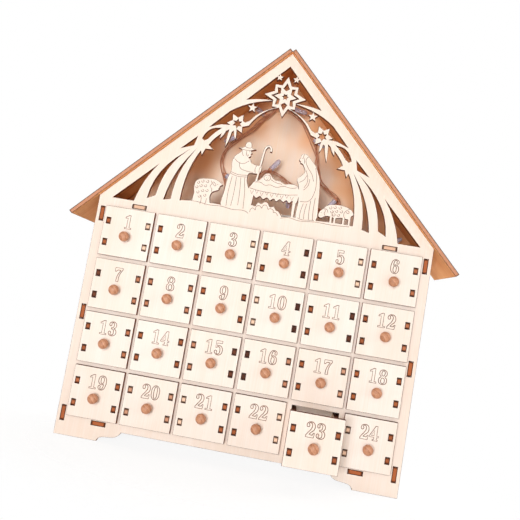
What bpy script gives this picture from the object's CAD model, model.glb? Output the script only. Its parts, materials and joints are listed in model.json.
"""Looks for a plywood advent calendar: sheets with burnt edges, numbered drawers, turned knobs
and a battery light string behind a pierced gable. Everything is in metres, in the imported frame."""
import json
import math
import random
from functools import partial

import bmesh
import bpy
from bpy.props import FloatProperty, FloatVectorProperty, IntProperty, PointerProperty
from mathutils import Matrix, Vector

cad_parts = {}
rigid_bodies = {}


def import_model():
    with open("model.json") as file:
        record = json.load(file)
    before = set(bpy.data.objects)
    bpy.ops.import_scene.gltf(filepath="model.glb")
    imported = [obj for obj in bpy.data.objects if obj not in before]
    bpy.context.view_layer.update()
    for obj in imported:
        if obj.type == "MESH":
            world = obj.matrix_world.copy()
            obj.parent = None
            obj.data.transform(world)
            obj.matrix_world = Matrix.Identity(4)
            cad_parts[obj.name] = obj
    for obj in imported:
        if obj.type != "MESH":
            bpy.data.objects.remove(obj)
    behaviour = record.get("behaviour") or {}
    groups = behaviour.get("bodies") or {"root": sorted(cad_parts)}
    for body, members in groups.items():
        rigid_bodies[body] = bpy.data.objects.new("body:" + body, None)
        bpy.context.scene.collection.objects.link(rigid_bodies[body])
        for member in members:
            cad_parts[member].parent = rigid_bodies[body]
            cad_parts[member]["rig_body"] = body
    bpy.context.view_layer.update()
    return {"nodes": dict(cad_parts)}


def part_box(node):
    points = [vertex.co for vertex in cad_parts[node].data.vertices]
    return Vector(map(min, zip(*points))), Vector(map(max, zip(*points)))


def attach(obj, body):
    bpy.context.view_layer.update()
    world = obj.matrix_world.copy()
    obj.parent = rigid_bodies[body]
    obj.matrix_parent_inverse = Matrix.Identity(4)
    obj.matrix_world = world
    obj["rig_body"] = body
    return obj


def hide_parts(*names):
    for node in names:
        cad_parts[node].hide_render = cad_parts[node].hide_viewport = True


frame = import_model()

bl_info = {
    "name": "Plywood advent calendar",
    "version": (1, 0, 0),
    "blender": (4, 5, 0),
    "location": "View3D > Sidebar > Advent calendar",
    "description": "Dresses a laser-cut plywood advent calendar with its materials and small parts",
    "category": "Object",
}

MM = 0.001
MERGE = 1e-6
# Outline steps shorter than this would not survive the charred lip
WELD = 0.05 * MM
HOUSE_NODES = ["front_panel", "back_panel", "side_walls", "base_board", "scene_deck",
               "drawer_grid", "roof_left", "roof_right"]
DRAWERS = ["%02d" % n for n in range(1, 25)]
ROOF_SLOPE = math.tan(math.radians(46))
UP, BACK = Vector((0, 0, 1)), Vector((0, 1, 0))
# Cosines over which a face lies square to a direction, and under which it runs along it
SQUARE, ALONG = 0.9, 0.2
# A cut that looks forwards or backwards and is wider than this is the end of a tab
TAB_W = 2 * MM

# Materials of every sheet, in the order that sheet_materials gives them
OUTER, RAW, CUT, LIP, SMOKED, STAINED = range(6)
# Inner faces that smoke has coloured, where the others are raw
INNER = {"front_panel": SMOKED, "roof_left": SMOKED, "roof_right": SMOKED,
         "back_panel": STAINED}
# Depth of the burn on a sheet's cuts, from 0, pale, to 1, charred: on upright fronts and backs,
# on the upper edges of drawers and grid, at the end of a notch, and on single nodes
FRONT_BURN, UPPER_BURN, NOTCH_BURN = 0.76, 0.95, 1
BURNS = {"roof_left": 0.42, "roof_right": 0.42, "side_walls": 0.52, "scene_deck": 0.3,
         "base_board": 0.5}
# The other sheets draw one of these, and differ from it by up to the spread
DRAWN_BURNS, BURN_SPREAD = (0.12, 0.42, 0.5, 0.55, 0.62, 0.95), 0.05
# The roof's cuts are charred deeper at their outer arris
ROOF_UNEVEN = 0.2
# Depth of the veneer's colour, and the most that the other sheets draw
SHADES, DRAWN_SHADE = {"front_panel": 1, "back_panel": 0}, 0.8

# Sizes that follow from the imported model
PANEL_LOW, PANEL_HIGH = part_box("front_panel")
PANEL_Y = PANEL_LOW.y
HALF_W = PANEL_HIGH.x
BACK_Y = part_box("back_panel")[0].y
INNER_DEPTH = BACK_Y - PANEL_HIGH.y
DECK_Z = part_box("scene_deck")[1].z
GABLE_H = PANEL_HIGH.z - DECK_Z
# A sheet's inner face is the one that looks to this point, among the drawers
HOUSE_MIDDLE = Vector((0, (PANEL_HIGH.y + BACK_Y) / 2, DECK_Z * 0.6))
# Heights between which the smoke on the back panel deepens, under the ridge
SMOKE_LOW, SMOKE_HIGH = PANEL_HIGH.z - 18 * MM, PANEL_HIGH.z + 26 * MM


def linear(code):
    """An sRGB hex colour as linear red, green, blue and alpha."""
    parts = [int(code[i:i + 2], 16) / 255 for i in (1, 3, 5)]
    return [c / 12.92 if c <= 0.04045 else ((c + 0.055) / 1.055) ** 2.4 for c in parts] + [1]


def add_node(tree, kind, sockets=None, out=0, **settings):
    """Adds a node with its settings, sets each socket to a value or links it to an output, and
    gives one of the node's own outputs."""
    node = tree.nodes.new(kind)
    for name, value in settings.items():
        setattr(node, name, value)
    for name, value in (sockets or {}).items():
        if isinstance(value, bpy.types.NodeSocket):
            tree.links.new(value, node.inputs[name])
        else:
            node.inputs[name].default_value = value
    return node.outputs[out]


def new_material(name, **sockets):
    """A material, add_node for its own tree, and its shader with its even values set."""
    made = bpy.data.materials.new(name)
    made.use_nodes = True
    shader = made.node_tree.nodes["Principled BSDF"]
    for socket, value in sockets.items():
        shader.inputs[socket.replace("_", " ")].default_value = value
    return made, partial(add_node, made.node_tree), shader


def colour(name, text, code):
    """A colour property with its default as an sRGB hex value."""
    return FloatVectorProperty(name=name, description=text, subtype="COLOR", size=4, min=0, max=1,
                               default=linear(code))


def length(name, text, value):
    """A length property in metres."""
    return FloatProperty(name=name, description=text, default=value, min=0, unit="LENGTH",
                         precision=5)


def power(name, text, value):
    """A lamp's power in watts."""
    return FloatProperty(name=name, description=text, default=value, min=0, unit="POWER")


class SheetSettings(bpy.types.PropertyGroup):
    face: colour("Face", "Sanded basswood veneer on the outer faces", "#F3ECE6")
    face_grain: colour("Face grain", "Darker streaks of the outer veneer", "#EEDFD3")
    inside: colour("Inside", "Unsanded veneer on the inner faces", "#FFF0E0")
    inside_grain: colour("Inside grain", "Darker streaks of the inner veneer", "#FEE6C8")
    smoke: colour("Smoked", "Smoke-stained veneer inside the gable", "#F5B87C")
    smoke_grain: colour("Smoked grain", "Darker streaks of the stained veneer", "#DA884A")
    char: colour("Char", "Char that the laser leaves at an edge", "#3A1B0D")
    pale_cut: colour("Pale cut", "Middle of a lightly burnt cut", "#F3CFB4")
    orange_cut: colour("Orange cut", "Middle of a well burnt cut", "#B06238")
    dark_cut: colour("Dark cut", "Middle of a deeply burnt cut", "#75402A")
    lip: length("Burnt lip", "Width of the charred lip along each cut", 0.2 * MM)
    streak: length("Streak", "Width of the finest streak in the veneer", 0.7 * MM)


class MarkSettings(bpy.types.PropertyGroup):
    height: length("Numeral height", "Height of the numerals on the drawers", 10.3 * MM)
    rise: length("Numeral rise", "Height of the numerals' middle above the front's", 8.4 * MM)
    width: length("Line width", "Width of the laser's scored line", 0.56 * MM)
    line: colour("Scored line", "Scorched wood in a scored line", "#654736")


class KnobSettings(bpy.types.PropertyGroup):
    wood: colour("Beech", "Waxed beech of the knobs", "#D09A7A")
    wood_grain: colour("Beech grain", "Darker flecks of the beech", "#A66D4B")
    steps: IntProperty(name="Steps", description="Faces round each knob", default=40, min=12)


class LightSettings(bpy.types.PropertyGroup):
    case: colour("Battery box", "White ABS of the battery box", "#ECEAE4")
    wire: colour("Wire", "Brown PVC sleeve of the wire", "#C98D6E")
    lens: colour("Lens", "Clear epoxy of the bulbs", "#F6F3FF")
    core: colour("Core", "Lilac lamp inside each bulb", "#D9D8FA")
    strand: length("Strand", "Diameter of each strand", 0.75 * MM)
    twist: length("Twist", "Length of one turn of the twisted pair", 34 * MM)


class StageSettings(bpy.types.PropertyGroup):
    floor: colour("Floor", "Matte white card under the object", "#D8D8D8")
    key: power("Key lamp", "Power of the lamp beside the camera", 4.15)
    low: power("Low lamp", "Power of the lamp near the floor in front", 2.1)
    side: power("Side lamp", "Power of the soft lamp at the right", 0.8)
    rear: power("Rear lamps", "Power of each soft lamp behind the object", 8)
    tint: colour("Fill tint", "Colour of the soft light all round", "#FFDDB8")
    fill: FloatProperty(name="Fill", description="Strength of the soft light all round",
                        default=0.33, min=0)


def surface(shader, shown, relief=None):
    """Gives a material's shader its colour and, where it has one, its relief."""
    links = shader.id_data.links
    links.new(shown, shader.inputs["Base Color"])
    if relief:
        links.new(relief, shader.inputs["Normal"])


def veneer(name, pale, deep, streak):
    """Rotary-cut basswood veneer, sanded matte: long fine streaks, wide soft bands and blotches."""
    made, add, shader = new_material(name, Roughness=0.62, Specular_IOR_Level=0.3)
    along = add("ShaderNodeUVMap", uv_map="sheet")
    tone = add("ShaderNodeAttribute", out="Fac", attribute_name="tone")
    total = add("ShaderNodeMath", {0: tone, 1: 0.16}, operation="MULTIPLY")
    # fibre streaks, early and late wood bands, and stain blotches: length, width and share
    for long, wide, share in ((55 * MM, streak, 0.34), (16 * MM, streak / 2, 0.2),
                              (210 * MM, 8 * MM, 0.3), (70 * MM, 40 * MM, 0.36)):
        scaled = add("ShaderNodeVectorMath", {0: along, 1: (1 / long, 1 / wide, 1)},
                     operation="MULTIPLY")
        noise = add("ShaderNodeTexNoise", {"Vector": scaled, "Scale": 1, "Detail": 2})
        total = add("ShaderNodeMath", {0: noise, 1: share, 2: total}, operation="MULTIPLY_ADD")
    depth = add("ShaderNodeMapRange", {0: total, 1: 0.52, 2: 0.86})
    mixed = add("ShaderNodeMix", {0: depth, 6: pale, 7: deep}, 2, data_type="RGBA")
    bump = add("ShaderNodeBump", {"Height": total, "Strength": 0.25, "Distance": 0.1 * MM})
    surface(shader, mixed, bump)
    return made


def stained(made, look):
    """Lays smoke on a veneer in soft clouds that deepen up towards the roof."""
    base = made.node_tree.nodes["Principled BSDF"].inputs["Base Color"]
    add = partial(add_node, made.node_tree)
    place = add("ShaderNodeTexCoord", out="Object")
    parts = add("ShaderNodeSeparateXYZ", {0: place}).node.outputs
    side = add("ShaderNodeMath", {0: parts[0]}, operation="ABSOLUTE")
    # the height that a place would have under the ridge, moved in along the roof's slope
    height = add("ShaderNodeMath", {0: side, 1: ROOF_SLOPE, 2: parts[2]},
                 operation="MULTIPLY_ADD")
    # clouds 26 mm wide move the smoke up and down by up to 70 mm
    cloud = add("ShaderNodeTexNoise", {"Vector": place, "Scale": 1 / (26 * MM), "Detail": 1})
    height = add("ShaderNodeMath", {0: cloud, 1: 70 * MM, 2: height}, operation="MULTIPLY_ADD")
    share = add("ShaderNodeMapRange", {0: height, 1: SMOKE_LOW, 2: SMOKE_HIGH, 4: 0.85},
                interpolation_type="SMOOTHSTEP")
    surface(base.node, add("ShaderNodeMix", {0: share, 6: base.links[0].from_socket,
                                             7: look.smoke}, 2, data_type="RGBA"))
    return made


def burnt_cut(look):
    """Laser cut through basswood plywood: charred at both arrises, toasted in the middle, with
    fine striations where the beam stepped along."""
    made, add, shader = new_material("laser_cut_basswood", Roughness=0.7, Specular_IOR_Level=0.25)
    place = add("ShaderNodeUVMap", uv_map="sheet")
    tone = add("ShaderNodeAttribute", out="Fac", attribute_name="tone")
    middle = add("ShaderNodeValToRGB", {0: tone})
    stops = middle.node.color_ramp.elements
    stops[0].color = look.pale_cut
    stops[1].color = look.char
    for position, stain in ((0.25, look.pale_cut), (0.5, look.orange_cut), (0.9, look.dark_cut)):
        stops.new(position).color = stain
    # the beam's marks are 0.4 mm apart and run across the cut
    scaled = add("ShaderNodeVectorMath", {0: place, 1: (1 / (0.4 * MM), 0.6, 1)},
                 operation="MULTIPLY")
    marks = add("ShaderNodeTexNoise", {"Vector": scaled, "Scale": 1, "Detail": 1})
    # across the cut, 0 is its middle and 1 an arris, and the char starts at about 0.8
    across = add("ShaderNodeSeparateXYZ", {0: place}, 1)
    away = add("ShaderNodeMath", {0: across}, operation="ABSOLUTE")
    rough = add("ShaderNodeMath", {0: marks, 1: 0.25, 2: away}, operation="MULTIPLY_ADD")
    charred = add("ShaderNodeMapRange", {0: rough, 1: 0.8, 2: 1.08})
    # a tab's end is charred beside its corners, and clears from 0.2 mm to 1.1 mm in
    ends = add("ShaderNodeUVMap", uv_map="ends")
    ends = add("ShaderNodeSeparateXYZ", {0: ends}).node.outputs
    along = add("ShaderNodeMath", {0: ends[0]}, operation="ABSOLUTE")
    left = add("ShaderNodeMath", {0: ends[1], 1: along}, operation="SUBTRACT")
    corner = add("ShaderNodeMapRange", {0: left, 1: 0.2 * MM, 2: 1.1 * MM, 3: 0.85, 4: 0})
    charred = add("ShaderNodeMath", {0: charred, 1: corner}, operation="MAXIMUM")
    # the two glue lines of three-ply, a third of the way out, show a little darker
    line = add("ShaderNodeMath", {0: away, 1: 0.33, 2: 0.05}, operation="COMPARE")
    line = add("ShaderNodeMath", {0: line, 1: 0.15, 2: charred}, operation="MULTIPLY_ADD",
               use_clamp=True)
    mixed = add("ShaderNodeMix", {0: line, 6: middle, 7: look.char}, 2, data_type="RGBA")
    bump = add("ShaderNodeBump", {"Height": marks, "Strength": 0.4, "Distance": 0.08 * MM})
    surface(shader, mixed, bump)
    return made


def scorched(name, code, faint):
    """Scorched wood, dull and uneven, as a char line or a scored line. Faint is how much lighter
    the line gets where the beam moved fast."""
    made, add, shader = new_material(name, Roughness=0.8, Specular_IOR_Level=0.2)
    place = add("ShaderNodeTexCoord", out="Object")
    noise = add("ShaderNodeTexNoise", {"Vector": place, "Scale": 1 / (3 * MM), "Detail": 2})
    value = add("ShaderNodeMapRange", {0: noise, 1: 0.35, 2: 0.65, 3: 0.85, 4: faint})
    surface(shader, add("ShaderNodeHueSaturation", {"Value": value, "Color": code}))
    return made


def beech(look):
    """Turned beech with a thin wax: even pinkish wood with short darker flecks along the grain."""
    made, add, shader = new_material("waxed_beech", Roughness=0.42, Specular_IOR_Level=0.45)
    place = add("ShaderNodeTexCoord", out="Object")
    # beech flecks are about 0.5 mm wide and 3 mm long, and the grain runs along the knob
    scaled = add("ShaderNodeVectorMath",
                 {0: place, 1: (1 / (0.5 * MM), 1 / (3 * MM), 1 / (1.2 * MM))},
                 operation="MULTIPLY")
    noise = add("ShaderNodeTexNoise", {"Vector": scaled, "Scale": 1, "Detail": 2})
    # year rings 3 mm apart show as curved bands on the head (bands repeat at 0.363 / scale)
    rings = add("ShaderNodeTexWave", {"Vector": place, "Scale": 1 / (8.19 * MM),
                                      "Distortion": 5, "Detail": 2, "Detail Scale": 0.9},
                1, wave_profile="SAW", bands_direction="DIAGONAL")
    both = add("ShaderNodeMath", {0: rings, 1: 0.45, 2: noise}, operation="MULTIPLY_ADD")
    depth = add("ShaderNodeMapRange", {0: both, 1: 0.45, 2: 1.05})
    mixed = add("ShaderNodeMix", {0: depth, 6: look.wood, 7: look.wood_grain}, 2,
                data_type="RGBA")
    bump = add("ShaderNodeBump", {"Height": both, "Strength": 0.2, "Distance": 0.05 * MM})
    surface(shader, mixed, bump)
    return made


def moulded(name, code, rough, grit):
    """Injection-moulded plastic with a fine spark-eroded texture and a faint cloudiness."""
    made, add, shader = new_material(name, Roughness=rough, IOR=1.5)
    place = add("ShaderNodeTexCoord", out="Object")
    fine = add("ShaderNodeTexNoise", {"Vector": place, "Scale": 1 / grit, "Detail": 1})
    cloud = add("ShaderNodeTexNoise", {"Vector": place, "Scale": 1 / (12 * MM)})
    value = add("ShaderNodeMapRange", {0: cloud, 1: 0.3, 2: 0.7, 3: 0.95, 4: 1.04})
    mixed = add("ShaderNodeHueSaturation", {"Value": value, "Color": code})
    bump = add("ShaderNodeBump", {"Height": fine, "Strength": 0.3, "Distance": 0.05 * MM})
    surface(shader, mixed, bump)
    return made


def add_object(name, data):
    """An object in the scene, at the origin."""
    made = bpy.data.objects.new(name, data)
    bpy.context.scene.collection.objects.link(made)
    return made


def make_piece(name, bm, materials, body, replaced=()):
    """Turns a bmesh into a named piece that rides on a body and stands for CAD nodes."""
    mesh = bpy.data.meshes.new(name)
    bm.to_mesh(mesh)
    bm.free()
    for made in materials:
        mesh.materials.append(made)
    piece = add_object(name, mesh)
    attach(piece, body)
    if replaced:
        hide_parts(*replaced)
    return piece


def merged_copy(node, distance):
    """A copy of a CAD node's mesh with its points merged and its flat faces made whole."""
    bm = bmesh.new()
    bm.from_mesh(frame["nodes"][node].data)
    bmesh.ops.remove_doubles(bm, verts=bm.verts, dist=distance)
    bmesh.ops.dissolve_limit(bm, angle_limit=math.radians(0.5), verts=bm.verts, edges=bm.edges)
    return bm


def smooth(bm, degrees):
    """Shades a bmesh smooth, apart from edges that turn further than an angle."""
    for face in bm.faces:
        face.smooth = True
    for edge in bm.edges:
        edge.smooth = edge.calc_face_angle(0) < math.radians(degrees)


def span(points, way):
    """The least and the greatest distance of points along a direction."""
    reached = [point.dot(way) for point in points]
    return min(reached), max(reached)


def separate_sheets(bm):
    """The separate sheets of a bmesh in the order of their places, each as its faces, its own
    face direction and its middle."""
    seen, sheets = set(), []
    for start in bm.faces:
        if start in seen:
            continue
        seen.add(start)
        faces, heap = [], [start]
        while heap:
            face = heap.pop()
            faces.append(face)
            for edge in face.edges:
                for other in edge.link_faces:
                    if other not in seen:
                        seen.add(other)
                        heap.append(other)
        widest = max(faces, key=lambda f: f.calc_area()).normal.copy()
        # unequal weights turn even a sloping sheet the same way in every run
        if widest.x + widest.y * 0.9 + widest.z * 0.8 < 0:
            widest.negate()
        corners = [vert.co for face in faces for vert in face.verts]
        low = [min(corner[axis] for corner in corners) for axis in range(3)]
        high = [max(corner[axis] for corner in corners) for axis in range(3)]
        sheets.append((faces, widest, (Vector(low) + Vector(high)) / 2,
                       [round(value, 4) for value in low + high]))
    return [sheet[:3] for sheet in sorted(sheets, key=lambda sheet: sheet[3])]


def dress_sheets(node, materials, lip):
    """Copies a plywood node, gives each cut a charred lip, and lays grain and burn marks on it."""
    bm = merged_copy(node, WELD)
    bm.normal_update()
    roof = node.startswith("roof")
    # the roof's sheets meet at sharp arrises along the ridge
    ridge = 0.5 * MM if roof else -1
    arrises = []
    for faces, widest, _ in separate_sheets(bm):
        flat = {face for face in faces if abs(face.normal.dot(widest)) > SQUARE}
        for face in faces:
            if face in flat:
                arrises += [e for e in face.edges if not all(f in flat for f in e.link_faces)
                            and abs(e.verts[0].co.x) + abs(e.verts[1].co.x) > ridge]
    bmesh.ops.bevel(bm, geom=arrises, offset=lip, offset_type="OFFSET", segments=1, profile=0.5,
                    affect="EDGES", clamp_overlap=False, loop_slide=False, material=-1)
    # the pierced outlines nearly touch themselves, so their faces are cut up by the beauty method
    bmesh.ops.triangulate(bm, faces=[face for face in bm.faces if len(face.verts) > 4],
                          ngon_method="BEAUTY")
    bm.normal_update()
    uv = bm.loops.layers.uv.new("sheet")
    ends = bm.loops.layers.uv.new("ends")
    tone = bm.faces.layers.float.new("tone")
    draw = random.Random(node)
    for faces, widest, middle in separate_sheets(bm):
        corners = [vert.co for face in faces for vert in face.verts]
        inward = -1 if (HOUSE_MIDDLE - middle).dot(widest) < 0 else 1
        fronts = abs(widest.y) > SQUARE
        front, rear = span(corners, BACK)
        # the grain runs up the fronts, and along the longer side of every other sheet
        first = UP if fronts else widest.cross(BACK).normalized()
        low, high = span(corners, first)
        if not fronts and high - low < rear - front:
            first = BACK
        second = widest.cross(first)
        low, high = span([c - middle for c in corners], widest)
        centre = (low + high) / 2
        shift = Vector((draw.uniform(0, 3), draw.uniform(0, 3)))
        shade = SHADES.get(node, draw.uniform(0, DRAWN_SHADE))
        burn = draw.choice(DRAWN_BURNS) + draw.uniform(-BURN_SPREAD, BURN_SPREAD)
        burn = FRONT_BURN if fronts else BURNS.get(node, burn)
        uneven = inward * ROOF_UNEVEN if roof else 0
        for face in faces:
            lean = face.normal.dot(widest)
            if abs(lean) > SQUARE:
                face.material_index = INNER.get(node, RAW) if lean * inward > 0 else OUTER
                face[tone] = shade
                for loop in face.loops:
                    co = loop.vert.co
                    loop[uv].uv = (co.dot(first) + shift.x, co.dot(second) + shift.y)
                continue
            face.material_index = CUT if abs(lean) < ALONG else LIP
            endways = abs(face.normal.y) > SQUARE
            notch = endways and front + MM < face.calc_center_median().y < rear - MM
            face[tone] = NOTCH_BURN if notch else burn
            if node.startswith("drawer_") and face.normal.z > SQUARE:
                face[tone] = UPPER_BURN
            run = widest.cross(face.normal).normalized()
            near, far = span([vert.co for vert in face.verts], run)
            tab = endways and far - near > TAB_W
            for loop in face.loops:
                co = loop.vert.co
                loop[ends].uv = (co.dot(run) - (near + far) / 2, (far - near) / 2 if tab else 1)
                loop[uv].uv = (co.dot(run) + shift.x,
                               ((co - middle).dot(widest) - centre) / (high - centre) - uneven)
    smooth(bm, 30)
    return make_piece("plywood_" + node, bm, materials, frame["nodes"][node]["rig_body"],
                      [node])


def sheet_materials(look):
    """Outer and raw veneer, cut, charred lip, smoked and stained veneer, made once for all."""
    names = ["sanded_basswood", "raw_basswood", "laser_cut_basswood", "charred_basswood",
             "smoked_basswood", "stained_basswood"]
    found = [bpy.data.materials.get(name) for name in names]
    if None not in found:
        return found
    return [veneer(names[OUTER], look.face, look.face_grain, look.streak),
            veneer(names[RAW], look.inside, look.inside_grain, look.streak),
            burnt_cut(look), scorched(names[LIP], look.char, 1.2),
            veneer(names[SMOKED], look.smoke, look.smoke_grain, look.streak),
            stained(veneer(names[STAINED], look.inside, look.inside_grain, look.streak), look)]


class ADVENT_OT_house(bpy.types.Operator):
    """Dress the panels, walls, boards, grid and roof in basswood plywood"""
    bl_idname = "advent.house"
    bl_label = "House sheets"

    def execute(self, context):
        look = context.scene.advent_sheets
        for node in HOUSE_NODES:
            dress_sheets(node, sheet_materials(look), look.lip)
        return {"FINISHED"}


class ADVENT_OT_drawers(bpy.types.Operator):
    """Dress the twenty-four drawers in basswood plywood"""
    bl_idname = "advent.drawers"
    bl_label = "Drawers"

    def execute(self, context):
        look = context.scene.advent_sheets
        for number in DRAWERS:
            dress_sheets("drawer_" + number, sheet_materials(look), look.lip)
        return {"FINISHED"}


def swept(name, curve, place=Matrix()):
    """A curve's tubes as a closed, smooth bmesh, moved to their place."""
    drawn = add_object(name + "_curve", curve)
    bpy.context.view_layer.update()
    mesh = bpy.data.meshes.new_from_object(drawn.evaluated_get(
        bpy.context.evaluated_depsgraph_get()))
    bpy.data.objects.remove(drawn)
    mesh.transform(place)
    bm = bmesh.new()
    bm.from_mesh(mesh)
    bmesh.ops.remove_doubles(bm, verts=bm.verts, dist=MERGE)
    bmesh.ops.holes_fill(bm, edges=bm.edges, sides=0)
    bmesh.ops.recalc_face_normals(bm, faces=bm.faces)
    for face in bm.faces:
        face.smooth = True
    return bm


def scored_piece(name, lines, width, y, made, body):
    """Scored lines as rounded threads on a face, a quarter as thick as wide, from points across
    and up. A point with a third value is a corner. A line that ends where it starts is closed."""
    curve = bpy.data.curves.new(name, "CURVE")
    curve.dimensions = "3D"
    curve.resolution_u = 4
    curve.bevel_depth = width / 2
    curve.bevel_resolution = 1
    for points in lines:
        closed = len(points) > 3 and points[0][:2] == points[-1][:2]
        kept = points[:-1] if closed else points
        spline = curve.splines.new("BEZIER")
        spline.bezier_points.add(len(kept) - 1)
        spline.use_cyclic_u = closed
        for handle, point in zip(spline.bezier_points, kept):
            handle.co = (point[0], 0, point[1])
            kind = "VECTOR" if len(point) > 2 else "AUTO"
            handle.handle_left_type = handle.handle_right_type = kind
    place = Matrix.Translation((0, y, 0)) @ Matrix.Diagonal((1, 0.25, 1, 1))
    return make_piece(name, swept(name, curve, place), [made], body)


# Closed outlines of the numerals in a box 1 high and this wide. A third value marks a corner.
DIGIT_BOX, C = 0.7, 0
# Step from one digit to the next as a share of their height, and how narrow they are made
DIGIT_STEP, DIGIT_WIDE = 0.68, 0.88
DIGITS = {
    "0": [[(.35, 0), (.1, .15), (.03, .5), (.1, .85), (.35, 1), (.6, .85), (.67, .5), (.6, .15)],
        [(.35, .07), (.25, .2), (.22, .5), (.25, .8), (.35, .93), (.45, .8), (.48, .5),
         (.45, .2)]],
    "1": [[(.1, 0, C), (.64, 0, C), (.64, .09, C), (.48, .1, C), (.48, 1, C), (.36, 1, C),
         (.08, .84, C), (.08, .76, C), (.27, .8, C), (.27, .1, C), (.1, .09, C)]],
    "2": [[(.04, 0, C), (.63, 0, C), (.68, .3, C), (.6, .3, C), (.53, .18), (.42, .17, C),
         (.27, .18, C), (.44, .35), (.62, .52), (.66, .74), (.56, .94), (.34, 1), (.12, .93),
         (.04, .77), (.1, .66), (.21, .68), (.25, .78), (.2, .87), (.31, .94), (.42, .88),
         (.45, .72), (.36, .5), (.16, .26), (.04, .1, C)]],
    "3": [[(.33, 0), (.57, .07), (.67, .27), (.59, .45), (.46, .53, C), (.58, .61), (.63, .77),
         (.54, .94), (.33, 1), (.12, .94), (.05, .79), (.13, .69), (.23, .75), (.21, .87),
         (.32, .94), (.42, .87), (.43, .72), (.36, .59), (.23, .57, C), (.23, .49, C), (.38, .47),
         (.46, .29), (.43, .12), (.32, .06), (.2, .12), (.24, .23), (.15, .31), (.05, .24),
         (.11, .07)]],
    "4": [[(.24, 0, C), (.64, 0, C), (.64, .08, C), (.56, .09, C), (.56, .24, C), (.69, .24, C),
         (.69, .34, C), (.56, .34, C), (.56, 1, C), (.4, 1, C), (.01, .34, C), (.01, .24, C),
         (.35, .24, C), (.35, .09, C), (.24, .08, C)],
        [(.35, .34, C), (.14, .34, C), (.35, .72, C)]],
    "5": [[(.1, 1, C), (.6, 1, C), (.58, .83, C), (.21, .83, C), (.2, .62, C), (.37, .67),
         (.58, .58), (.67, .34), (.58, .09), (.33, 0), (.12, .07), (.04, .22), (.13, .31),
         (.23, .24), (.2, .12), (.33, .06), (.44, .14), (.47, .33), (.42, .52), (.3, .58),
         (.19, .52), (.1, .5, C)]],
    "6": [[(.36, 0), (.13, .09), (.03, .36), (.06, .68), (.19, .93), (.4, 1), (.59, .93),
         (.64, .79), (.56, .7), (.46, .77), (.48, .89), (.38, .94), (.27, .84), (.23, .57, C),
         (.38, .63), (.59, .54), (.67, .32), (.58, .08)],
        [(.36, .07), (.26, .16), (.23, .34), (.28, .5), (.38, .55), (.46, .47), (.48, .3),
         (.45, .13)]],
    "7": [[(.05, 1, C), (.67, 1, C), (.67, .89, C), (.5, .62), (.42, .34), (.42, 0, C),
         (.22, 0, C), (.25, .34), (.37, .62), (.51, .83, C), (.24, .83), (.14, .72, C),
         (.05, .72, C)]],
    "8": [[(.35, 0), (.12, .06), (.03, .25), (.09, .43), (.2, .53), (.09, .63), (.06, .79),
         (.15, .94), (.35, 1), (.55, .94), (.64, .79), (.61, .63), (.5, .53), (.61, .43),
         (.67, .25), (.58, .06)],
        [(.35, .07), (.23, .13), (.21, .27), (.28, .42), (.42, .42), (.49, .27), (.47, .13)],
        [(.35, .58), (.24, .68), (.23, .8), (.27, .9), (.35, .93), (.44, .9), (.48, .8),
         (.46, .68)]],
}
DIGITS["9"] = [[(DIGIT_BOX - p[0], 1 - p[1], *p[2:]) for p in line] for line in DIGITS["6"]]


class ADVENT_OT_numerals(bpy.types.Operator):
    """Score a number in outline on every drawer's front"""
    bl_idname = "advent.numerals"
    bl_label = "Numerals"

    def execute(self, context):
        look = context.scene.advent_marks
        made = scorched("scored_basswood", look.line, 1.9)
        for number in DRAWERS:
            low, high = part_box("drawer_" + number)
            text = number.lstrip("0")
            foot = (low.z + high.z) / 2 + look.rise - look.height / 2
            lines = []
            for place, digit in enumerate(text):
                step = (place - (len(text) - 1) / 2) * DIGIT_STEP * look.height
                middle = (low.x + high.x) / 2 + step
                lines += [[(middle + (p[0] - DIGIT_BOX / 2) * look.height * DIGIT_WIDE,
                            foot + p[1] * look.height, *p[2:]) for p in line + line[:1]]
                          for line in DIGITS[digit]]
            scored_piece("numeral_" + number, lines, look.width, low.y, made, "drawer_" + number)
        return {"FINISHED"}


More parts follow.
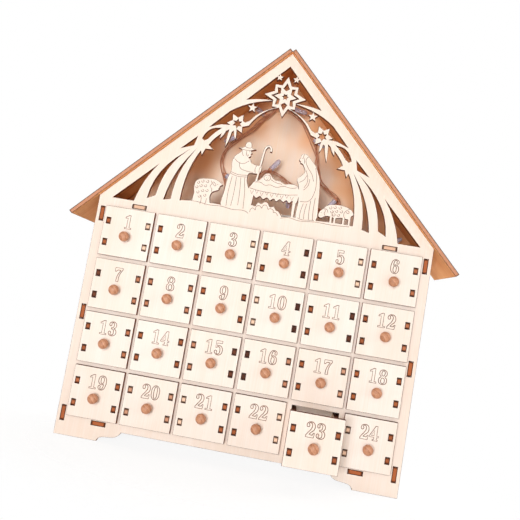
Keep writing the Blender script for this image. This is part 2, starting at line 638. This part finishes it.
# Lines scored on the figures, as shares of the panel's half width and of the gable's height
FIGURES = {
    "sheep": [
        [(-.352, .204), (-.344, .188), (-.352, .172), (-.34, .158), (-.338, .14)],
        [(-.338, .198), (-.326, .192), (-.32, .178), (-.333, .182), (-.338, .198)],
        [(-.312, .188), (-.306, .188)], [(-.294, .169), (-.303, .166)],
        [(-.395, .062), (-.391, .09), (-.396, .112)], [(-.364, .062), (-.36, .1)]],
    "man": [
        [(-.222, .414), (-.185, .407), (-.15, .409), (-.12, .417)],
        [(-.186, .427), (-.164, .421), (-.144, .426)],
        [(-.172, .402), (-.17, .382), (-.158, .37)], [(-.161, .386), (-.158, .376)],
        [(-.2, .404), (-.196, .386), (-.186, .372)], [(-.159, .4), (-.153, .401)],
        [(-.238, .352), (-.215, .334), (-.18, .328), (-.148, .348)],
        [(-.204, .332), (-.192, .3), (-.16, .29), (-.112, .286)],
        [(-.1, .327), (-.105, .306), (-.1, .285)], [(-.075, .327), (-.08, .308), (-.076, .288)],
        [(-.243, .272), (-.2, .262), (-.142, .266)], [(-.245, .262), (-.2, .252), (-.142, .256)],
        [(-.232, .248), (-.24, .16), (-.238, .075)], [(-.206, .248), (-.205, .17), (-.21, .08)],
        [(-.18, .248), (-.172, .17), (-.17, .09)], [(-.157, .25), (-.143, .17), (-.135, .075)]],
    "mother": [
        [(.197, .424), (.186, .406), (.19, .386), (.206, .36), (.232, .33), (.25, .29)],
        [(.172, .434), (.168, .42), (.176, .402), (.18, .382)],
        [(.16, .411), (.166, .41)], [(.152, .3925), (.158, .3915)],
        [(.196, .345), (.214, .3), (.212, .27), (.2, .246)],
        [(.206, .318), (.192, .29), (.168, .272)], [(.226, .3), (.222, .262), (.2, .232)],
        [(.25, .368), (.266, .3), (.264, .22), (.24, .176), (.19, .166)],
        [(.212, .158), (.202, .1), (.204, .072)], [(.232, .16), (.226, .11), (.228, .072)],
        [(.252, .18), (.252, .12), (.256, .072)], [(.276, .2), (.276, .12), (.28, .072)],
        [(.19, .074), (.215, .067), (.25, .069), (.29, .074)]],
    "manger": [
        [(-.118, .198), (-.06, .19), (.02, .188), (.1, .19), (.17, .2)],
        [(-.09, .236), (-.06, .238), (-.03, .226), (0, .232), (.04, .224), (.08, .236),
         (.13, .232), (.162, .24)],
        [(-.044, .27), (-.034, .282), (-.018, .286), (-.004, .274), (-.01, .258), (-.03, .254),
         (-.044, .27)],
        [(-.03, .27), (-.027, .268)], [(-.018, .27), (-.015, .268)], [(-.026, .261), (-.019, .261)],
        [(0, .262), (.03, .25), (.07, .246)]],
    "bush": [
        [(-.092, .062), (-.09, .08), (-.076, .088), (-.062, .078)],
        [(-.062, .078), (-.058, .1), (-.04, .106), (-.026, .094)],
        [(-.026, .094), (-.016, .114), (.002, .112), (.012, .094)],
        [(.012, .094), (.028, .1), (.042, .094), (.046, .08)],
        [(.046, .08), (.062, .082), (.074, .066)]],
    "grazing_sheep": [
        [(.336, .152), (.346, .138), (.342, .12), (.35, .11)], [(.322, .124), (.326, .124)],
        [(.344, .15), (.358, .142), (.362, .13)],
        [(.486, .168), (.462, .15), (.456, .13), (.464, .112)],
        [(.392, .112), (.388, .128), (.396, .14)]],
    "ground": [
        [(-.5, .07), (-.42, .074), (-.34, .066), (-.27, .07), (-.2, .062), (-.12, .064),
         (-.1, .054)],
        [(.09, .056), (.14, .066), (.2, .058), (.3, .066), (.4, .064), (.5, .07)]],
}
# Places of the small curls of fleece and tufts of straw
CURLS = {
    "sheep": [(-.425, .185), (-.4, .195), (-.372, .197), (-.43, .158), (-.406, .168), (-.38, .172),
              (-.418, .13), (-.392, .142), (-.366, .146), (-.374, .118), (-.405, .108)],
    "grazing_sheep": [(.375, .16), (.4, .166), (.43, .168), (.385, .14), (.412, .146), (.44, .148),
                      (.426, .126), (.4, .124), (.478, .15)],
}
TUFTS = {"manger": [(-.1, .172), (-.07, .178), (-.04, .17), (-.01, .176), (.02, .17), (.05, .177),
                    (.08, .17), (.11, .177), (.14, .17)]}
# One curl of fleece and one tuft of straw, about their own place
CURL = [(-.009, 0), (-.003, -.008), (.006, -.005), (.005, .004), (-.001, .003)]
TUFT = [(-.01, .012, C), (0, -.006, C), (.008, .014, C)]
# The figures' lines are this much finer than the numerals'
FINE = 0.65


class ADVENT_OT_figures(bpy.types.Operator):
    """Score the folds, fleece and faces of the figures on the gable"""
    bl_idname = "advent.figures"
    bl_label = "Figures' lines"

    def execute(self, context):
        look = context.scene.advent_marks
        made = bpy.data.materials["scored_basswood"]
        for name, lines in FIGURES.items():
            small = [(CURL, place) for place in CURLS.get(name, [])]
            small += [(TUFT, place) for place in TUFTS.get(name, [])]
            drawn = lines + [[(x + p[0], z + p[1], *p[2:]) for p in line]
                             for line, (x, z) in small]
            drawn = [[(p[0] * HALF_W, DECK_Z + p[1] * GABLE_H, *p[2:]) for p in line]
                     for line in drawn]
            scored_piece(name + "_lines", drawn, look.width * FINE, PANEL_Y, made, "house")
        return {"FINISHED"}


def turned(profile, steps, place):
    """A closed turned shape round its own Z axis, from radius and height, moved to its place."""
    bm = bmesh.new()
    verts = [bm.verts.new((r, 0, z)) for r, z in profile]
    edges = [bm.edges.new(pair) for pair in zip(verts, verts[1:])]
    bmesh.ops.spin(bm, geom=verts + edges, cent=(0, 0, 0), axis=(0, 0, 1), angle=2 * math.pi,
                   steps=steps, use_merge=True)
    bmesh.ops.remove_doubles(bm, verts=bm.verts, dist=MERGE)
    bmesh.ops.transform(bm, matrix=place, verts=bm.verts)
    bmesh.ops.recalc_face_normals(bm, faces=bm.faces)
    smooth(bm, 38)
    return bm


def spline_point(a, b, c, d, t):
    """A point between b and c on the smooth line through four points."""
    return (2 * b + t * (c - a) + t * t * (2 * a - 5 * b + 4 * c - d)
            + t ** 3 * (3 * b - a - 3 * c + d)) / 2


def smooth_line(points, steps):
    """A smooth open line through every point."""
    last = len(points) - 1
    made = [spline_point(points[max(i - 1, 0)], points[i], points[i + 1],
                         points[min(i + 2, last)], k / steps)
            for i in range(last) for k in range(steps)]
    return made + [points[last]]


# A knob's radius and distance from the drawer's front, and its dowel's radius, in shares of the
# head's radius
KNOB = [(0.52, 0), (0.5, 0.12), (0.5, 0.36), (0.56, 0.44), (0.8, 0.53), (0.96, 0.76),
        (1, 1.02), (0.94, 1.34), (0.74, 1.6), (0.42, 1.75), (0.14, 1.783), (0, 1.785)]
DOWEL = 0.33


class ADVENT_OT_knobs(bpy.types.Operator):
    """Turn a beech knob for every drawer"""
    bl_idname = "advent.knobs"
    bl_label = "Knobs"

    def execute(self, context):
        look = context.scene.advent_knobs
        made = beech(look)
        curve = smooth_line([Vector(p) for p in KNOB[2:]], 4)
        for number in DRAWERS:
            low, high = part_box("knob_" + number)
            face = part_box("drawer_" + number)[0].y
            r = (high.x - low.x) / 2
            reach = (face - low.y) / (r * KNOB[-1][1])
            profile = [(0, face - high.y), (DOWEL * r, face - high.y), (DOWEL * r, 0)]
            profile += [(radius * r, away * r) for radius, away in KNOB[:2]]
            profile += [(max(p.x, 0) * r, p.y * r * reach) for p in curve]
            place = Matrix.Translation(((low.x + high.x) / 2, face, (low.z + high.z) / 2)) \
                @ Matrix.Rotation(math.pi / 2, 4, "X")
            make_piece("turned_knob_" + number, turned(profile, look.steps, place), [made],
                       "drawer_" + number, ["knob_" + number])
        return {"FINISHED"}


def eased_copy(node, offset):
    """A merged copy of a hard node with its sharp edges eased."""
    bm = merged_copy(node, MERGE)
    sharp = [e for e in bm.edges if e.calc_face_angle(0) > math.radians(40)]
    bmesh.ops.bevel(bm, geom=sharp, offset=offset, offset_type="OFFSET", segments=2, profile=0.5,
                    affect="EDGES", clamp_overlap=True, material=-1)
    smooth(bm, 38)
    return bm


class ADVENT_OT_battery(bpy.types.Operator):
    """Mould the battery box, its switch and its cells"""
    bl_idname = "advent.battery"
    bl_label = "Battery box"

    def execute(self, context):
        look = context.scene.advent_lights
        white = moulded("white_abs", look.case, 0.42, 0.4 * MM)
        black = moulded("black_abs", linear("#1D1D20"), 0.4, 0.4 * MM)
        make_piece("moulded_battery_box", eased_copy("battery_box", 0.35 * MM), [white],
                   "house", ["battery_box"])
        make_piece("moulded_switch", eased_copy("battery_switch", 0.25 * MM), [black],
                   "switch", ["battery_switch"])
        # glossy shrunk PVC label in two plain colours, with the plated can bare at both ends
        cell, add, shader = new_material("cell_label", Roughness=0.3)
        place = add("ShaderNodeTexCoord", out="Object")
        across = add("ShaderNodeSeparateXYZ", {0: place})
        bands = add("ShaderNodeMapRange", {0: across, 1: -22 * MM, 2: 23 * MM})
        label = add("ShaderNodeValToRGB", {0: bands})
        ramp = label.node.color_ramp
        ramp.interpolation = "CONSTANT"
        ramp.elements[1].position = 0.97
        for end in ramp.elements:
            end.color = linear("#C9CBCE")
        for position, code in ((0.02, "#35393F"), (0.66, "#B98A3E")):
            ramp.elements.new(position).color = linear(code)
        surface(shader, label)
        cells = frame["nodes"]["battery_cells"]
        cells.data.materials.clear()
        cells.data.materials.append(cell)
        return {"FINISHED"}


# Route of the wire, as shares of the half width, the depth before the back panel and the height
WIRE = [
    (-.275, .14, .065), (-.31, .12, .12), (-.31, .09, .22), (-.33, .07, .32), (-.36, .07, .41),
    (-.34, .07, .5), (-.28, .07, .57), (-.2, .07, .64), (-.12, .07, .72), (-.04, .09, .79),
    (.04, .09, .79), (.13, .07, .71), (.2, .07, .63), (.25, .09, .53), (.27, .09, .44),
    (.29, .09, .37), (.35, .12, .32), (.42, .16, .27), (.44, .21, .21), (.38, .25, .16),
    (.3, .25, .19), (.22, .23, .25), (.13, .21, .31), (.03, .19, .36), (-.04, .19, .37),
    (-.076, .19, .36), (-.092, .19, .325), (-.076, .19, .29), (-.04, .18, .272), (.03, .17, .27),
    (.11, .17, .26), (.19, .19, .22), (.26, .21, .15), (.34, .23, .08), (.45, .25, .04),
    (.58, .28, .03), (.7, .28, .03), (.77, .26, .04)]
# Each bulb's point on the route and its tilt in degrees
BULBS = [(7, -120), (9, -60), (11, 100), (13, 120), (25, 35), (18, -145), (31, 175), (4, 120),
         (36, -20), (38, 60)]
WIRE_D = 2.2 * MM
# A bulb's parts: sides round each, and its outline as radius and height in millimetres
BULB_R = 2.2
BULB_PARTS = {
    "bulb_lenses": (20, [(0, 2.2), (1.95, 2.2), (BULB_R, 2.5), (BULB_R, 3.2), (2, 3.4), (2, 9.6),
                         (1.86, 11), (1.4, 12.2), (0.75, 12.85), (0, 13)]),
    "bulb_lamps": (12, [(0, 3.4), (1.1, 3.4), (1.1, 4.6), (0.6, 5.2), (0.6, 7), (0, 7.3)]),
    "bulb_holders": (20, [(0, 0), (1.2, 0), (1.7, 0.5), (1.9, 2.6), (0, 2.6)]),
}


def tube(name, lines, diameter, made, replaced=()):
    """Round wires along open lines of points, as one piece."""
    curve = bpy.data.curves.new(name, "CURVE")
    curve.dimensions = "3D"
    curve.bevel_depth = diameter / 2
    curve.bevel_resolution = 2
    curve.use_fill_caps = True
    for points in lines:
        spline = curve.splines.new("POLY")
        spline.points.add(len(points) - 1)
        for handle, point in zip(spline.points, points):
            handle.co = (*point, 1)
    return make_piece(name, swept(name, curve), [made], "house", replaced)


class ADVENT_OT_lights(bpy.types.Operator):
    """Twist the light string's wire along its route and set the bulbs on it"""
    bl_idname = "advent.lights"
    bl_label = "Light string"

    def execute(self, context):
        look = context.scene.advent_lights
        box_low, box_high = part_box("battery_box")
        wire = moulded("brown_pvc", look.wire, 0.35, 1 * MM)
        # the wire leaves the battery box 0.1 mm off its side, half way up
        start = Vector((box_low.x - 0.1 * MM, BACK_Y - WIRE[0][1] * INNER_DEPTH,
                        (box_low.z + box_high.z) / 2))
        route = [start] + [Vector((x * HALF_W, BACK_Y - y * INNER_DEPTH, DECK_Z + z * GABLE_H))
                           for x, y, z in WIRE]
        line = smooth_line(route, 8)
        steps = [0] + [(b - a).length for a, b in zip(line, line[1:])]
        strands, run, side = ([], [], [], []), 0, BACK
        for i, (point, step) in enumerate(zip(line, steps)):
            ahead = (line[min(i + 1, len(line) - 1)] - line[max(i - 1, 0)]).normalized()
            side = (side - ahead * side.dot(ahead)).normalized()
            over = ahead.cross(side)
            run += step
            turn = 2 * math.pi * run / look.twist
            offset = (side * math.cos(turn) + over * math.sin(turn)) * look.strand * 0.9
            strands[0].append(point + offset)
            strands[1].append(point - offset)
            # two slacker strands run behind the twisted pair and wander to its sides, by up to
            # 2.4 mm and by less over the wire's first and last 20 mm
            slack = 2.4 * MM * min(1, run / (20 * MM), (sum(steps) - run) / (20 * MM))
            behind = point + side * look.strand * 1.1
            strands[2].append(behind + over * slack * math.cos(turn * 0.6 + 0.9))
            strands[3].append(behind - over * slack * math.sin(turn * 0.45 + 0.4))
        leads, joined = [], {name: bmesh.new() for name in BULB_PARTS}
        for index, tilt in BULBS:
            angle = math.radians(tilt)
            way = Vector((math.sin(angle), 0, math.cos(angle)))
            # each bulb lies in front of the wire, with 0.2 mm between them
            base = route[index] + Vector((0, -WIRE_D / 2 - BULB_R * MM - 0.2 * MM, 0))
            place = Matrix.Translation(base) @ Matrix.Rotation(angle, 4, "Y")
            apart = way.cross(BACK) * 0.5 * MM
            for sign in (-1, 1):
                knee = route[index] + Vector((0, -1.9 * MM, 0)) - way * 1.4 * MM + apart * sign
                leads.append(smooth_line([route[index], knee, base + apart * sign
                                          + way * 0.4 * MM], 5))
            for name, (sides, outline) in BULB_PARTS.items():
                part = turned([(r * MM, z * MM) for r, z in outline], sides, place)
                mesh = bpy.data.meshes.new(name)
                part.to_mesh(mesh)
                part.free()
                joined[name].from_mesh(mesh)
                bpy.data.meshes.remove(mesh)
        tube("twisted_wire", strands, look.strand, wire, ["light_string"])
        tube("bulb_leads", leads, 0.8 * MM, wire)
        # cast epoxy, clear with a lilac tint, smooth from the mould
        lens, add, shader = new_material("clear_epoxy", Roughness=0.14, IOR=1.5,
                                         Transmission_Weight=0.45)
        place = add("ShaderNodeTexCoord", out="Object")
        cloud = add("ShaderNodeTexNoise", {"Vector": place, "Scale": 1 / (4 * MM)})
        surface(shader, add("ShaderNodeMix", {0: cloud, 6: look.lens, 7: linear("#E2DFF8")}, 2,
                            data_type="RGBA"))
        core = moulded("lilac_lamp", look.core, 0.3, 1 * MM)
        for name, made in zip(BULB_PARTS, (lens, core, wire)):
            make_piece(name, joined[name], [made], "house")
        return {"FINISHED"}


# Radius of the card. What is seen of it fades between two distances from the middle, and a
# distance to the front or back counts this much longer.
CARD_R, FADE, FADE_DEPTH = 1.6, (0.1, 0.23), 1.7
# What is seen of the card is a glow of this strength by this share, and lamplight for the rest
CARD_GLOW, GLOW_SHARE = 1.09, 0.82
WHITE = (1, 1, 1, 1)
# Soft square lamps: the setting that holds the power, the share of it, the width and the place
LAMPS = {
    "key": ("key", 1, 0.36, (-0.12, -1.0, 0.33)),
    "low": ("low", 1, 0.2, (-0.16, -0.7, 0.06)),
    "side": ("side", 1, 0.3, (0.75, -0.42, 0.28)),
    "rear": ("rear", 1, 0.8, (0, 1.3, 0.75)),
    "left": ("rear", 0.25, 0.6, (-1.1, 0.4, 0.9)),
    "right": ("rear", 1.4, 0.6, (1.1, 0.4, 0.9)),
}
LIT_POINT = Vector((0, 0, 0.16))
# Place and turn, in degrees, of the camera, with its lens and sensor in millimetres
CAMERA_PLACE, CAMERA_TURN = (25.5 * MM, -400.1 * MM, 122 * MM), (94.3, -9.76, 2.69)
LENS_MM, SENSOR_MM = 36.69, 36


def seen_rays(add):
    """1 for the camera's own rays and for those that gloss and glass send on, or else 0."""
    rays = add("ShaderNodeLightPath").node.outputs
    seen = rays["Is Camera Ray"]
    for kind in ("Is Glossy Ray", "Is Transmission Ray"):
        seen = add("ShaderNodeMath", {0: seen, 1: rays[kind]}, operation="MAXIMUM")
    return seen


class ADVENT_OT_stage(bpy.types.Operator):
    """Set the white floor, the soft light and the camera"""
    bl_idname = "advent.stage"
    bl_label = "Stage"

    def execute(self, context):
        look = context.scene.advent_stage
        scene = context.scene
        bm = bmesh.new()
        bmesh.ops.create_circle(bm, cap_ends=True, segments=64, radius=CARD_R)
        mesh = bpy.data.meshes.new("floor")
        bm.to_mesh(mesh)
        bm.free()
        floor = add_object("floor", mesh)
        # matte white card that fades into the white background away from the object
        card, add, shader = new_material("white_card", Roughness=0.9, Specular_IOR_Level=0.1)
        shader.inputs["Base Color"].default_value = look.floor
        place = add("ShaderNodeTexCoord", out="Object")
        place = add("ShaderNodeVectorMath", {0: place, 1: (1, FADE_DEPTH, 1)},
                    operation="MULTIPLY")
        away = add("ShaderNodeVectorMath", {0: place}, "Value", operation="LENGTH")
        fade = add("ShaderNodeMapRange", {0: away, 1: FADE[0], 2: FADE[1]},
                   interpolation_type="SMOOTHSTEP")
        # the card throws light up from its whole size, and only what is seen of it fades
        seen = seen_rays(add)
        fade = add("ShaderNodeMath", {0: fade, 1: seen}, operation="MULTIPLY")
        seen = add("ShaderNodeMath", {0: seen, 1: GLOW_SHARE}, operation="MULTIPLY")
        glow = add("ShaderNodeEmission", {"Color": WHITE, "Strength": CARD_GLOW})
        lit = add("ShaderNodeMixShader", {0: seen, 1: shader.outputs[0], 2: glow})
        clear = add("ShaderNodeBsdfTransparent")
        mixed = add("ShaderNodeMixShader", {0: fade, 1: lit, 2: clear})
        card.node_tree.links.new(mixed, card.node_tree.nodes["Material Output"].inputs[0])
        mesh.materials.append(card)
        world = bpy.data.worlds.new("studio")
        world.use_nodes = True
        add = partial(add_node, world.node_tree)
        light = add("ShaderNodeBackground", {"Color": look.tint, "Strength": look.fill})
        white = add("ShaderNodeBackground", {"Color": WHITE, "Strength": 1})
        both = add("ShaderNodeMixShader", {0: seen_rays(add), 1: light, 2: white})
        world.node_tree.links.new(both, world.node_tree.nodes["World Output"].inputs[0])
        scene.world = world
        for name, (setting, share, size, place) in LAMPS.items():
            lamp = bpy.data.lights.new(name, "AREA")
            lamp.energy = getattr(look, setting) * share
            lamp.size = size
            lit = add_object(name, lamp)
            lit.location = place
            lit.rotation_euler = (LIT_POINT - lit.location).to_track_quat("-Z", "Y").to_euler()
        lens = bpy.data.cameras.new("camera")
        lens.sensor_width = SENSOR_MM
        lens.lens = LENS_MM
        lens.clip_start = 0.01
        camera = add_object("camera", lens)
        camera.location = CAMERA_PLACE
        camera.rotation_euler = [math.radians(a) for a in CAMERA_TURN]
        scene.camera = camera
        scene.view_settings.view_transform = "Standard"
        return {"FINISHED"}


GROUPS = {"advent_sheets": SheetSettings, "advent_marks": MarkSettings,
          "advent_knobs": KnobSettings, "advent_lights": LightSettings,
          "advent_stage": StageSettings}
OPERATORS = [ADVENT_OT_house, ADVENT_OT_drawers, ADVENT_OT_numerals, ADVENT_OT_figures,
             ADVENT_OT_knobs, ADVENT_OT_battery, ADVENT_OT_lights, ADVENT_OT_stage]


class ADVENT_PT_panel(bpy.types.Panel):
    """Every step of the advent calendar, with its sizes and colours"""
    bl_label = "Advent calendar"
    bl_space_type = "VIEW_3D"
    bl_region_type = "UI"
    bl_category = "Advent calendar"

    def draw(self, context):
        for name, group in GROUPS.items():
            box = self.layout.box()
            for prop in group.__annotations__:
                box.prop(getattr(context.scene, name), prop)
        for operator in OPERATORS:
            self.layout.operator(operator.bl_idname)


def register():
    for made in [*GROUPS.values(), *OPERATORS, ADVENT_PT_panel]:
        bpy.utils.register_class(made)
    for name, group in GROUPS.items():
        setattr(bpy.types.Scene, name, PointerProperty(type=group))


def unregister():
    for name in GROUPS:
        delattr(bpy.types.Scene, name)
    for made in [ADVENT_PT_panel, *reversed(OPERATORS), *reversed(list(GROUPS.values()))]:
        bpy.utils.unregister_class(made)


def main():
    register()
    bpy.ops.advent.house()
    bpy.ops.advent.drawers()
    bpy.ops.advent.numerals()
    bpy.ops.advent.figures()
    bpy.ops.advent.knobs()
    bpy.ops.advent.battery()
    bpy.ops.advent.lights()
    bpy.ops.advent.stage()


if __name__ == "__main__":
    main()
